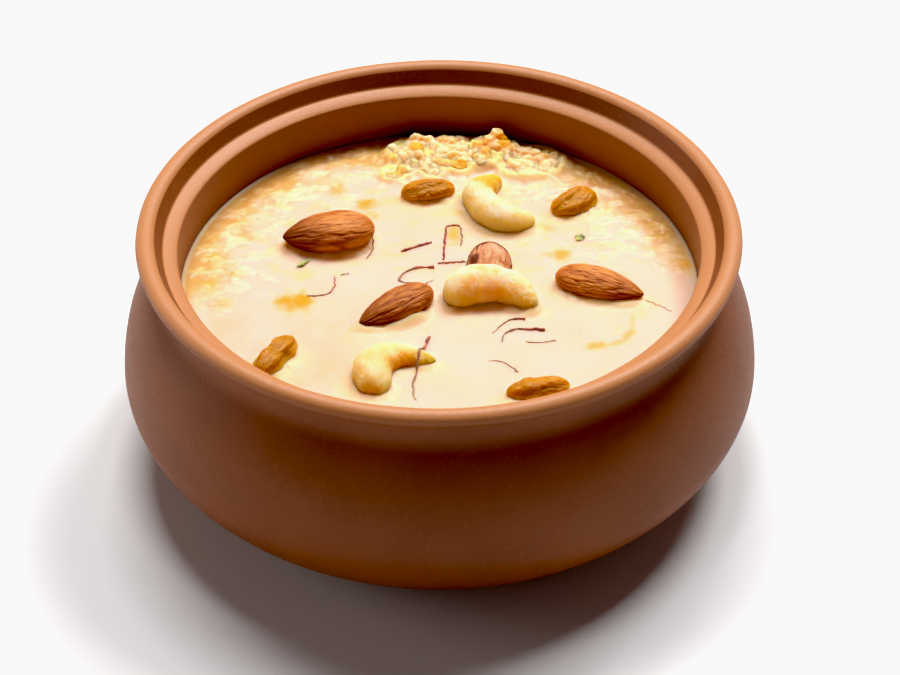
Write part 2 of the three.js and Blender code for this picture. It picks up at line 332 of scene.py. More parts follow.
def kheerLook():
    box = Paintbox("kheerCream", Roughness=0.42, IOR=1.4, Specular_IOR_Level=0.3,
                   Subsurface_Weight=1.0, Subsurface_Radius=(0.006, 0.0045, 0.0018))
    tone = box.patches((0.76, 0.52, 0.405), (0.755, 0.505, 0.355), 60.0)
    # the film colour is a painted highlight along the wall, where the meniscus catches the light
    tone = box.stained(tone, tan=(0.65, 0.325, 0.075), lime=(0.72, 0.52, 0.15), gold=(0.68, 0.30, 0.01),
                       glow=(0.92, 0.58, 0.17), pale=(0.84, 0.60, 0.36), film=(0.84, 0.52, 0.30))
    dots = box.rescale(box.cells(230.0), 0.06, 0.11, 1.0, 0.0)
    specks = box.times(dots, box.patches((0, 0, 0), (1, 1, 1), 60.0, 0.55, 0.66, "Mask"))
    box.feed("Base Color", box.mix(box.times(specks, 0.45), tone, (0.26, 0.25, 0.22)))
    box.roughen(600.0, 0.00012, 0.3, 0.45)
    return box


def curdLook():
    box = Paintbox("creamLumps", Roughness=0.5, IOR=1.4, Specular_IOR_Level=0.25,
                   Subsurface_Weight=1.0, Subsurface_Radius=(0.005, 0.0038, 0.0016))
    cream = box.patches((0.94, 0.54, 0.25), (0.92, 0.49, 0.18), 420.0)
    box.feed("Base Color", box.stained(cream, pale=(0.95, 0.60, 0.37), gold=(0.74, 0.34, 0.025)))
    box.roughen(700.0, 0.00015, 0.4, 0.6)
    return box


def almondLook(name, ridge, skin, valley, dark, sheen):
    box = Paintbox(name, Roughness=0.5, IOR=1.45, Specular_IOR_Level=sheen,
                   Subsurface_Weight=0.35, Subsurface_Radius=(0.0025, 0.001, 0.0004))
    streaks = box.grain(3.4, 4.0)
    streaked = box.mix(box.rescale(streaks, 0.45, 0.62), box.patches(skin, ridge, 150.0), ridge)
    furrowed = box.mix(box.rescale(box.grain(5.0, 4.0), 0.50, 0.68, 0.0, 0.75), streaked, valley)
    box.feed("Base Color", box.stained(furrowed, crease=valley, shade=dark))
    box.bump(box.grain(8.0, 5.0), 0.0005)
    box.feed("Roughness", box.rescale(streaks, 0.3, 0.7, 0.58, 0.40))
    return box


def cashewLook():
    box = Paintbox("cashewCoated", Roughness=0.45, IOR=1.42, Specular_IOR_Level=0.25,
                   Subsurface_Weight=1.0, Subsurface_Radius=(0.012, 0.009, 0.0035))
    flesh = box.patches((0.97, 0.64, 0.23), (0.96, 0.58, 0.14), 260.0)
    coat = box.patches((0.91, 0.61, 0.44), (0.89, 0.57, 0.30), 330.0)
    coated = box.mix(box.painted("cream"), flesh, coat)
    box.feed("Base Color", box.stained(coated, toast=(0.72, 0.34, 0.02), crease=(0.90, 0.53, 0.09)))
    box.roughen(900.0, 0.0006, 0.36, 0.55)
    return box


def raisinLook():
    box = Paintbox("raisinSkin", Roughness=0.42, IOR=1.42, Specular_IOR_Level=0.22,
                   Subsurface_Weight=0.9, Subsurface_Radius=(0.004, 0.0018, 0.0004))
    skin = box.patches((0.49, 0.212, 0.013), (0.42, 0.17, 0.009), 300.0)
    veined = box.mix(box.rescale(box.grain(2.6), 0.5, 0.66, 0.0, 0.6), skin, (0.40, 0.15, 0.008))
    box.feed("Base Color", box.stained(veined, crease=(0.38, 0.14, 0.008), shade=(0.85, 0.42, 0.03)))
    box.bump(box.grain(5.0, 4.0), 0.0003)
    box.feed("Roughness", box.rescale(box.painted("crease"), 0.0, 1.0, 0.38, 0.55))
    return box


def threadLook():
    box = Paintbox("saffron", Roughness=0.5, IOR=1.4, Specular_IOR_Level=0.35,
                   Subsurface_Weight=0.3, Subsurface_Radius=(0.0006, 0.0002, 0.0001))
    tint = box.patches((0.50, 0.13, 0.085), (0.20, 0.03, 0.02), 450.0, 0.4, 0.6)
    box.feed("Base Color", box.stained(tint, faded=(0.27, 0.22, 0.12)))
    box.relief(3000.0, 0.00005)
    return box


def sliverLook():
    box = Paintbox("pistachio", Roughness=0.5, IOR=1.4, Specular_IOR_Level=0.35,
                   Subsurface_Weight=0.3, Subsurface_Radius=(0.0008, 0.0008, 0.0003))
    box.feed("Base Color", box.patches((0.13, 0.16, 0.04), (0.55, 0.52, 0.18), 420.0, 0.42, 0.58))
    box.relief(2500.0, 0.00008)
    return box


def floorLook():
    box = Paintbox("paleFloor", Roughness=0.75, Specular_IOR_Level=0.2)
    box.feed("Base Color", box.patches((0.735, 0.735, 0.74), (0.725, 0.725, 0.73), 6.0))
    return box


print("materials")

shot = {
    "place": (0.0, -0.59806, 0.50536), "down": 38.49, "turn": 0.2534, "roll": -0.164,
    "lens": 120.0, "film": 36.0,
}

bpy.ops.object.camera_add()
camera = bpy.context.active_object
camera.data.lens = shot["lens"]
camera.data.sensor_width = shot["film"]
camera.matrix_world = (
    Matrix.Translation(shot["place"])
    @ Matrix.Rotation(math.radians(-shot["turn"]), 4, "Z")
    @ Matrix.Rotation(math.radians(90 - shot["down"]), 4, "X")
    @ Matrix.Rotation(math.radians(shot["roll"]), 4, "Z")
)
bpy.context.scene.camera = camera

# away in metres, high above the table and round from straight behind, clockwise seen from above
lamps = {
    "leftWindow": {"away": 7.0, "high": 63.3, "round": -8.9, "size": (2.92, 1.48), "power": 485.0},
    "rightWindow": {"away": 7.0, "high": 54.0, "round": 39.0, "size": (2.31, 1.81), "power": 448.0},
    "sideLight": {"away": 2.0, "high": 16, "round": -84, "size": (1.0, 1.0), "power": 11.5,
                  "colour": (1, 0.93, 0.9)},
    "frontFill": {"away": 3.0, "high": 24, "round": 176, "size": (1.6, 1.6), "power": 5.0,
                  "colour": (1, 0.86, 0.82)},
}
studio = {"sky": 0.08, "skyColour": (1, 0.68, 0.67, 1), "black": 0.023, "white": 0.945, "floor": 8.0}

for name, lamp in lamps.items():
    high, turn = math.radians(lamp["high"]), math.radians(lamp["round"])
    way = Vector((math.sin(turn) * math.cos(high), math.cos(turn) * math.cos(high), math.sin(high)))
    place = lamp["away"] * way
    bpy.ops.object.light_add(type="AREA", location=place)
    light = bpy.context.active_object
    light.name = name
    light.rotation_euler = place.to_track_quat("Z", "Y").to_euler()
    light.data.shape = "RECTANGLE"
    light.data.size, light.data.size_y = lamp["size"]
    light.data.energy = lamp["power"]
    light.data.color = lamp.get("colour", (1, 1, 1))

world = bpy.data.worlds.new("studio")
world.use_nodes = True
sky = world.node_tree.nodes["Background"]
sky.inputs["Color"].default_value = studio["skyColour"]
sky.inputs["Strength"].default_value = studio["sky"]
bpy.context.scene.world = world
view = bpy.context.scene.view_settings
view.view_transform = "Standard"
view.use_curve_mapping = True
view.curve_mapping.black_level = (studio["black"],) * 3
view.curve_mapping.extend = "HORIZONTAL"
view.curve_mapping.curves[3].points[1].location = (1, studio["white"])  # white stays just below 1
view.curve_mapping.update()

floor = addPiece(bpy.ops.mesh.primitive_plane_add, "floor", size=studio["floor"])
floorLook().cover(floor)
print("camera, light and floor")

# the lip's roll runs from rollStart to creaseAngle, and seatCurve from there over the lid seat to the neck
bowl = {
    "height": 66, "lipRadius": 75, "rollAcross": 2.45, "rollUp": 2.2, "rollStart": -115, "creaseAngle": 147,
    "seatCurve": [(70.4, 64.83), (70.1, 64.3), (69.5, 63.2), (68.9, 62.15), (68.55, 61.55), (68.4, 61.27),
                  (68.1, 61.18), (66.7, 60.8), (65.4, 60.15), (64.98, 59.8), (64.9, 59.5)],
    "seatInner": (64.9, 59.6), "neckShares": (0.12, 0.35, 0.6, 0.85),
    "neckRadius": 69.4, "neckTop": 59.8, "neckBottom": 55.4, "neckBlend": 2.5,
    "bellyRadius": 80.2, "bellyZ": 25, "baseRadius": 50, "lean": 1.15,
    "floorThickness": 5.5, "floorRadius": 46, "wall": 5.2,
    "outerShoulder": (21.9, 33), "innerShoulder": (21, 25.65),
    "sides": 128, "handMarks": (0.10, 26.0), "turnMarks": (0.02, 2.2),
    # where the clay is painted lighter, partly rubbed wear and partly painted light on the lit lip, lid seat
    # and inner wall: heights of the lid seat, and the radii it and the rest lie within
    "seatBand": (59.4, 59.9, 61.4, 61.8), "seatEdge": 69, "wallEdge": 65.3, "lipEdge": 70.4,
}
milkLevel = 47.6


def ringArc(centre, halves, start, end, steps):
    turns = np.radians(np.linspace(start, end, steps + 1))
    return [(centre[0] + halves[0] * math.cos(t), centre[1] + halves[1] * math.sin(t)) for t in turns]


def leanArc(centre, halves, lean, steps):  # the quarter below the belly, leaner than an ellipse
    arc = []
    for t in np.radians(np.linspace(-90, 0, steps + 1)):
        out, down = abs(math.cos(t)) ** lean, abs(math.sin(t)) ** lean
        arc.append((centre[0] + halves[0] * out, centre[1] - halves[1] * down))
    return arc


def outerRings():
    lowBelly = (bowl["bellyRadius"] - bowl["baseRadius"], bowl["bellyZ"])
    shoulderCentre = bowl["bellyRadius"] - bowl["outerShoulder"][0]
    neckAngle = math.degrees(math.acos((bowl["neckRadius"] - shoulderCentre) / bowl["outerShoulder"][0]))
    roll = (bowl["lipRadius"] - bowl["rollAcross"], bowl["height"] - bowl["rollUp"])
    neckEnd = neckAngle - bowl["neckBlend"]
    return (
        leanArc((bowl["baseRadius"], bowl["bellyZ"]), lowBelly, bowl["lean"], 16)
        + ringArc((shoulderCentre, bowl["bellyZ"]), bowl["outerShoulder"], 0, neckEnd, 14)[1:]
        + [(bowl["neckRadius"], bowl["neckBottom"]), (bowl["neckRadius"], bowl["neckTop"])]
        + ringArc(roll, (bowl["rollAcross"], bowl["rollUp"]), bowl["rollStart"], bowl["creaseAngle"], 20)
    )


def innerRings(gap, steps=12):  # from the foot of the straight neck down to the floor of the bowl
    centre = bowl["bellyRadius"] - bowl["wall"] - bowl["innerShoulder"][0]
    upper = (bowl["innerShoulder"][0] - gap, bowl["innerShoulder"][1] - gap)
    neckAngle = math.degrees(math.acos((bowl["seatInner"][0] - gap - centre) / upper[0]))
    lower = (bowl["bellyRadius"] - bowl["wall"] - bowl["floorRadius"] - gap,
             bowl["bellyZ"] - bowl["floorThickness"] - gap)
    return (
        ringArc((centre, bowl["bellyZ"]), upper, neckAngle, 0, steps)
        + ringArc((bowl["floorRadius"], bowl["bellyZ"]), lower, 0, -90, steps)[1:]
    )


def seatRings():  # under the lip, over the lid seat and down the straight neck
    inner = bowl["seatInner"]
    deep = inner[1] - milkLevel
    return bowl["seatCurve"] + [(inner[0], inner[1] - deep * share) for share in bowl["neckShares"]]


def pullRing(fromRing, toRing):  # one extrusion of the selected cap or edge, and its new size
    rise, scale = (toRing[1] - fromRing[1]) * mm, toRing[0] / fromRing[0]
    bpy.ops.mesh.extrude_region_move(TRANSFORM_OT_translate={"value": (0, 0, rise)})
    bpy.ops.transform.resize(value=(scale, scale, 1), center_override=(0, 0, toRing[1] * mm))


def makeBowl():
    rings = outerRings() + seatRings() + innerRings(0)
    piece = addPiece(bpy.ops.mesh.primitive_circle_add, "clayBowl", vertices=bowl["sides"],
                     radius=rings[0][0] * mm, fill_type="NGON", location=(0, 0, 0))
    bpy.ops.object.mode_set(mode="EDIT")
    bpy.ops.mesh.select_all(action="SELECT")
    for before, after in zip(rings, rings[1:]):
        pullRing(before, after)
    bpy.ops.object.mode_set(mode="OBJECT")
    turnOutward(piece)
    applyModifier(piece, "SUBSURF", levels=1, render_levels=1)
    points = pointsOf(piece)
    radius = np.hypot(points[:, 0], points[:, 1])
    outward = normalsOf(piece)
    (handDeep, handSize), (turnDeep, turnSize) = bowl["handMarks"], bowl["turnMarks"]
    hand = handDeep * noiseAt(points, handSize, 3.0)
    hand = hand + turnDeep * noiseAt(points * (0.12, 0.12, 1), turnSize, 9.0)
    hand *= softStep(0.5, 6.0, points[:, 2])  # the foot stays flat on the table
    movePoints(piece, points + outward * hand[:, None])
    height, inside = points[:, 2], radius < bowl["wallEdge"]
    seatLow, seatStart, seatEnd, seatHigh = bowl["seatBand"]
    onSeat = softStep(seatLow, seatStart, height) * softStep(seatHigh, seatEnd, height)
    onSeat *= radius < bowl["seatEdge"]
    onLip = softStep(63.0, 65.5, height) * (radius > bowl["lipEdge"])
    # painted light with the rubbed wear: lip, lid seat and inner wall lighter than the shaded belly
    paint(piece, "wearAndLight", onLip + np.maximum(onSeat, 0.35 * inside))
    # painted shade on the inner wall just above the milk
    paint(piece, "shadeAboveMilk", softStep(milkLevel + 6, milkLevel, height) * inside)
    smoothShade(piece)
    terracottaLook().cover(piece)
    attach(piece, "root")
    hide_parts("bowl")
    return piece


clayBowl = makeBowl()
print("bowl", len(clayBowl.data.polygons))

# the balls the nuts are made from, and how their skins are furrowed (depth, size, shift) and dented
almondForm = {"fine": (144, 100), "full": 0.985, "point": 0.68, "blunt": 0.5,
              "furrows": [(0.26, 0.55, 2.0), (0.13, 0.27, 9.0)], "dents": 0.20,
              "nearSide": (0, -0.78, 0.62)}
cashewForm = {"fine": (128, 112), "blunt": 2.6, "hollows": 0.40, "dents": 0.12, "crumbs": 0.5, "pores": 0.14}
raisinForm = {"fine": (112, 80), "folds": (0.08, 0.04), "waist": 0.28,
              "furrows": [(0.26, 0.9, 5.0), (0.20, 0.4, 3.0)]}
# dark is how far up from the kheer an almond's low flank is painted in shade, tip how much painted shade lies
# over its pointed end
almonds = [
    {"at": (-28.1, 16.9), "rise": 3.2, "turn": 187, "dip": 2, "roll": 4, "size": (23.6, 13.8, 9.6),
     "dark": 1.9, "tip": 0.8},
    {"at": (-10.8, -12.4), "rise": 1.9, "turn": 213, "dip": 5, "roll": -6, "size": (21.4, 9.8, 7.8),
     "dark": 2.2, "tip": 0.45, "tone": 0.22},
    {"at": (40.0, -4.0), "rise": 2.0, "turn": -19, "dip": 2, "roll": 5, "size": (23.0, 10.2, 7.8),
     "dark": 2.6, "tip": 0.1},
    {"at": (12.5, 4.8), "rise": -1.0, "turn": 268, "dip": 32, "roll": 0, "size": (17.0, 11.8, 7.6),
     "dark": 1.2, "tip": 0.0, "edge": 0.95, "stain": (8.78, 5.9, 1.0)},
]
# rough is where along the nut its surface turns crumbly
# toast and clefts are places on it, in its own millimetres
cashews = [
    {"at": (15.1, 30.0), "rise": 2.2, "thick": (8.6, 9.4), "flat": 0.95, "rough": (0.72, 0.95), "cream": 0.9,
     "spine": [(0.6, 12.0, -0.4), (-4.8, 4.0, 0), (0.4, -5.8, 0), (9.6, -7.0, -0.2)],
     "toast": [(-2.4, 6.0, 3.8, 1.0), (-0.4, 10.0, 3.6, 1.0), (-8.6, -1.0, 3.2, 0.35), (-5.8, -8.6, 3.4, 0.2),
               (8.6, -11.0, 3.6, 0.2), (11.0, -7.0, 2.6, 0.7), (5.6, -8.6, 2.4, 0.25),
               (6.6, -4.0, 1.6, 0.4)]},
    {"at": (12.3, -7.6), "rise": 2.8, "thick": (13.0, 8.0), "flat": 0.98, "rough": (0.3, 1.2), "cream": 1.0,
     "spine": [(-10.6, -3.0, 0), (-4.0, 1.6, 0.3), (4.6, 1.2, 0.1), (11.8, -4.4, -1.2)],
     "toast": [(-4.6, -4.0, 4.0, 0.5), (1.4, -4.6, 4.4, 0.5), (6.6, -4.4, 3.6, 0.35), (11.0, -6.0, 3.4, 0.55),
               (-1.6, 2.4, 1.6, 0.4), (-9.6, -6.0, 2.6, 0.3), (1.8, 1.6, 1.4, 0.35)]},
    {"at": (-12.0, -35.0), "rise": 1.4, "thick": (12.6, 5.4), "flat": 0.86, "rough": (0.7, 1.0), "cream": 0.6,
     "spine": [(-3.2, -10.2, 0), (-4.0, -0.8, 0.4), (1.4, 3.6, 0), (11.0, 2.4, -0.4)],
     "clefts": [(-3.6, -15.4, 1.5, 1.3)],
     "toast": [(-5.0, -12.6, 5.4, 0.75), (-0.8, -12.6, 3.6, 0.6), (1.8, -2.2, 3.2, 0.9),
               (5.4, -0.4, 3.0, 1.0), (10.4, 1.4, 3.6, 0.9), (-8.6, -5.0, 3.0, 0.5),
               (-4.0, -0.6, 5.0, 0.3), (3.6, 0.8, 3.0, 0.9)]},
]
raisins = [
    {"at": (-2.8, 36.9), "rise": 1.6, "turn": 10, "size": (14.2, 7.4, 6.2), "folds": 0.4},
    {"at": (35.0, 31.6), "rise": 1.5, "turn": 36, "size": (13.8, 8.6, 6.4), "folds": 1.9},
    {"at": (-39.9, -31.0), "rise": 1.5, "turn": 60, "size": (16.0, 7.6, 6.2), "folds": 3.1,
     "waist": (0.05, 0.2)},
    {"at": (23.5, -43.7), "rise": 1.2, "turn": 12, "size": (15.6, 7.0, 5.6), "folds": 4.6,
     "waist": (0.15, 0.16)},
]


def newNut(name, fine):  # a unit ball, its pole turned to +X, and where each vertex is on it
    piece = newBall(name, fine)
    side, up, along = (pointsOf(piece) * mm).T
    ring = np.hypot(side, up)
    ring = np.where(ring > 1e-6, ring, np.inf)
    return piece, np.clip(along, -1, 1), side / ring, up / ring


def layDown(points, nut):
    turn = (Matrix.Rotation(math.radians(nut.get("turn", 0)), 3, "Z")
            @ Matrix.Rotation(math.radians(nut.get("dip", 0)), 3, "Y")
            @ Matrix.Rotation(math.radians(nut.get("roll", 0)), 3, "X"))
    return points @ np.array(turn).T + np.array((*nut["at"], milkLevel + nut["rise"]))


def keepLie(piece, lie):  # where a vertex is round and along its nut, for the grain
    layer = piece.data.attributes.new("lie", "FLOAT_VECTOR", "POINT")
    layer.data.foreach_set("vector", lie.astype(np.float32).ravel())


def finishNut(piece, look, node):
    turnOutward(piece)
    smoothShade(piece)
    look.cover(piece)
    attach(piece, "root")
    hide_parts(node)
    return piece


def carve(piece, nut, points, across, upward, depth, lie):  # grooves toward the nut's own axis, then laid
    inward = np.column_stack((0 * depth, across, upward)) * depth[:, None]
    movePoints(piece, layDown(points - inward, nut))
    keepLie(piece, lie)


def furrows(lie, rows):  # 1 along the bottom of each kind of furrow and 0 between, and the depth of all
    found = [np.clip(1 - 2.6 * np.abs(noiseAt(lie, size, shift)), 0, 1) for _, size, shift in rows]
    return (*found, sum(depth * furrow ** 2 for (depth, _, _), furrow in zip(rows, found)))


def makeAlmond(index, nut, look):
    piece, along, across, upward = newNut(f"almond{index + 1}", almondForm["fine"])
    length, width, thick = nut["size"]
    ring = almondForm["full"] * (1 - along) ** almondForm["point"] * (1 + along) ** almondForm["blunt"]
    lie = np.column_stack((across, upward, along * 0.6)) + 7.0 * index
    wide, narrow, groove = furrows(lie, almondForm["furrows"])
    dents = noiseAt(lie, 1.2, 5.0)
    fade = softStep(-1, -0.7, along) * softStep(0, 0.12, 1 - along)
    groove = (groove + almondForm["dents"] * dents) * fade
    points = np.column_stack((along * length / 2, across * ring * width / 2, upward * ring * thick / 2))
    carve(piece, nut, points, across, upward, groove, lie)
    # painted shade in the bottoms of the furrows
    paint(piece, "crease", 0.65 * wide ** 3 * fade + 0.35 * narrow ** 3 * fade)
    # painted shade on the low flank near the kheer and over the pointed end
    depth = pointsOf(piece)[:, 2] - milkLevel
    low = nut.get("tone", 0) + 1.1 * softStep(nut["dark"], 0.1, depth + 0.5 * dents)
    flank = normalsOf(piece) @ almondForm["nearSide"]  # darker along the far outline, where the skin turns away from the camera
    low = np.maximum(low, nut.get("edge", 0) * softStep(0.6, 0.42, flank + 0.12 * dents))
    if "stain" in nut:
        spot = pointsOf(piece)[:, :2] - nut["stain"][:2]
        low = np.maximum(low, 0.9 * softStep(1.5, 0.6, np.hypot(*spot.T) / nut["stain"][2] + 0.4 * dents))
    paint(piece, "shade", low + nut["tip"] * softStep(-0.15, 0.95, along) + 0.7 * softStep(0.93, 1.0, along))
    return finishNut(piece, look, f"almond_{index + 1}")


def makeCashew(index, nut, look):
    piece, along, across, upward = newNut(f"cashew{index + 1}", cashewForm["fine"])
    share = (along + 1) / 2
    route = smoothRoute(nut["spine"], 400)
    steps = np.linspace(0, 1, len(route))
    centre = np.column_stack([np.interp(share, steps, route[:, i]) for i in range(3)])
    slope = np.gradient(route, axis=0)
    heading = np.column_stack([np.interp(share, steps, slope[:, i]) for i in range(2)])
    heading /= np.linalg.norm(heading, axis=1)[:, None]
    ring = np.sqrt(np.maximum(0, 1 - np.abs(along) ** cashewForm["blunt"]))
    half = ring * (nut["thick"][0] + (nut["thick"][1] - nut["thick"][0]) * share) / 2
    side, up = across * half, upward * half * nut["flat"]
    points = centre + np.column_stack((-heading[:, 1] * side, heading[:, 0] * side, up))
    dents = noiseAt(points, 3.6, 5.0 * index + 1, 3)
    crumbs = noiseAt(points, 1.3, 4.0 * index + 2) * softStep(nut["rough"][0], nut["rough"][1], share)
    cleft = np.zeros(len(points))
    for x, y, size, depth in nut.get("clefts", ()):
        cleft += depth * np.exp(-((points[:, 0] - x) ** 2 + (points[:, 1] - y) ** 2) / size ** 2)
    inward = np.column_stack((-heading[:, 1] * across, heading[:, 0] * across, upward))
    sink = cashewForm["hollows"] * np.maximum(dents, 0) + cashewForm["dents"] * dents
    sink = sink + cashewForm["crumbs"] * crumbs + cashewForm["pores"] * noiseAt(points, 1.0, 8.0) + cleft
    points -= inward * (sink * ring)[:, None]
    toast = np.zeros(len(points))
    patchy = noiseAt(points, 2.4, 3.0 * index + 4, 3)
    for x, y, size, strength in nut["toast"]:
        away = np.hypot(points[:, 0] - x, points[:, 1] - y) / size
        toast = np.maximum(toast, strength * softStep(1.25, 0.35, away + 0.35 * patchy))
    movePoints(piece, layDown(points, nut))
    keepLie(piece, np.column_stack((across, upward, along * 2)))
    lift = normalsOf(piece)[:, 2]
    paint(piece, "toast", toast)
    paint(piece, "cream", nut["cream"] * softStep(0.2, 0.95, lift + 0.14 * patchy))
    # painted shade in the hollows
    paint(piece, "crease", softStep(0.02, 0.16, cavityOf(piece, 8)) * 0.5)
    return finishNut(piece, look, f"cashew_{index + 1}")


def makeRaisin(index, nut, look):
    piece, along, across, upward = newNut(f"raisin{index + 1}", raisinForm["fine"])
    length, width, thick = nut["size"]
    turn = np.arctan2(upward, across)
    large, small = raisinForm["folds"]
    fold = (1 + large * np.sin(5 * turn + nut["folds"] + 1.7 * along)
            + small * np.sin(3 * turn - nut["folds"]))
    waist, pinch = nut.get("waist", (0, 0))
    narrowed = 1 - pinch * np.exp(-((along - waist) / raisinForm["waist"]) ** 2)
    ring = np.sqrt(np.maximum(0, 1 - along ** 2)) * narrowed
    lie = np.column_stack((across, upward, along * 1.3)) + 9.0 * index
    *_, groove = furrows(lie, raisinForm["furrows"])
    side, up = across * fold * ring * width / 2, upward * fold * ring * thick / 2
    points = np.column_stack((along * length / 2, side, up))
    carve(piece, nut, points, across, upward, groove * ring, lie)
    # painted shade in the folds
    paint(piece, "crease", 0.8 * softStep(0.03, 0.25, cavityOf(piece, 8)))
    depth = pointsOf(piece)[:, 2] - milkLevel
    paint(piece, "shade", 0.9 * softStep(2.6, 0.6, depth))
    return finishNut(piece, look, f"raisin_{index + 1}")


brownSkin = almondLook("almondSkin", (0.67, 0.25, 0.055), (0.50, 0.148, 0.025), (0.285, 0.06, 0.011),
                       (0.15, 0.024, 0.005), 0.25)
paleSkin = almondLook("almondPale", (0.78, 0.41, 0.22), (0.71, 0.33, 0.155), (0.48, 0.15, 0.05),
                      (0.12, 0.018, 0.006), 0.3)
cashewSkin, raisinSkin = cashewLook(), raisinLook()
nuts = []
for index, nut in enumerate(almonds[:-1]):
    nuts.append(makeAlmond(index, nut, brownSkin))
nuts.append(makeAlmond(len(almonds) - 1, almonds[-1], paleSkin))
for index, nut in enumerate(cashews):
    nuts.append(makeCashew(index, nut, cashewSkin))
for index, nut in enumerate(raisins):
    nuts.append(makeRaisin(index, nut, raisinSkin))
print("nuts and raisins", sum(len(nut.data.polygons) for nut in nuts))

kheer = {
    "cells": 264, "wallGap": 0.05, "within": 62,
    # the milk that clings to the wall and laps up the nuts and the heap, and the painted warm light beside
    # them, where their shadows fall
    "wallRise": (0.35, 0.8), "climb": (0.25, 0.42), "least": 0.3, "reach": 2.1,
    "heapClimb": (0.9, 1.2), "glow": 2.8,
    # how far from its side the milk dips under a nut, and how deep
    "overhang": 0.6, "tuck": 0.3,
    "grain": (3.2, 1.9), "seed": 11, "swell": (0.10, 16.0),
    "lifts": {"gold": 0.3, "pale": 0.15, "curd": 0.32},  # how high what lies under the surface lifts it
    "band": (1.0, 196.0), "bandWidth": 15.0,  # from where to where the painted rim shadow and warm edge run along the wall, in degrees
}
milkRadius = bowl["seatInner"][0] - kheer["wallGap"]
heap = {
    "voxel": 0.30, "grain": (4.6, 3.8), "seed": 5, "within": 62.4, "spread": 0.8, "sunk": 0.8,
    "puffed": 0.2, "rough": [(0.7, 3.2, 4.0, 3), (0.28, 1.2, 6.0, 2)],  # depth, size, shift and octaves
    # centre, half sizes, height and how many small lumps lie on it
    "mounds": [
        (-6.0, 55.5, 7.4, 6.4, 2.4, 10), (3.5, 54.5, 9.6, 7.6, 2.0, 14), (13.6, 55.6, 7.4, 6.4, 3.1, 8),
        (24.0, 51.0, 9.4, 7.0, 1.5, 16),
    ],
    # single lumps: place, half sizes, height of the top over the milk and how golden
    "lumps": [
        (-5.4, 59.7, 2.3, 1.7, 4.2, 0), (-3.2, 58.9, 2.0, 1.6, 3.6, 0), (-5.2, 55.1, 2.6, 2.2, 3.0, 1),
        (-1.2, 56.6, 1.5, 2.6, 3.3, 0), (0.9, 59.8, 1.8, 1.5, 3.4, 0.3), (3.5, 58.9, 1.9, 1.5, 3.1, 0.3),
        (1.4, 54.6, 2.2, 1.8, 2.8, 0), (5.4, 55.3, 2.2, 1.7, 2.6, 0.1), (0.6, 49.9, 2.4, 1.8, 2.0, 0.5),
        (3.3, 50.8, 2.4, 1.8, 2.1, 0.7), (5.9, 48.4, 2.6, 1.8, 1.4, 1), (-3.9, 49.6, 2.8, 2.6, 1.9, 0),
        (-2.0, 47.0, 2.8, 2.2, 1.3, 0), (-11.5, 46.6, 3.2, 2.6, 0.9, 0.8), (-8.9, 48.6, 2.8, 2.4, 1.3, 0),
        (-7.0, 51.4, 2.8, 2.4, 1.9, 0.1), (11.0, 55.9, 2.4, 2.2, 3.8, 0.7),
        (13.6, 56.9, 2.4, 2.4, 5.0, 0.1), (15.6, 58.2, 2.3, 1.8, 6.2, 0), (17.4, 55.8, 2.2, 2.5, 4.2, 1),
        (13.3, 52.2, 2.2, 2.4, 2.9, 0.8), (15.4, 55.0, 1.3, 2.4, 4.4, 0.1),
        (20.0, 55.8, 2.2, 1.8, 2.9, 0.1), (22.6, 54.7, 2.3, 1.8, 2.6, 0), (25.8, 53.7, 2.4, 1.8, 2.6, 0.1),
        (28.1, 52.0, 1.7, 1.5, 2.2, 0.5), (21.5, 50.3, 2.2, 1.8, 1.8, 0), (24.9, 48.5, 2.3, 1.8, 1.6, 0),
        (18.3, 48.8, 2.0, 1.6, 1.5, 0.2), (28.2, 47.2, 1.9, 1.6, 1.3, 0),
    ],
}
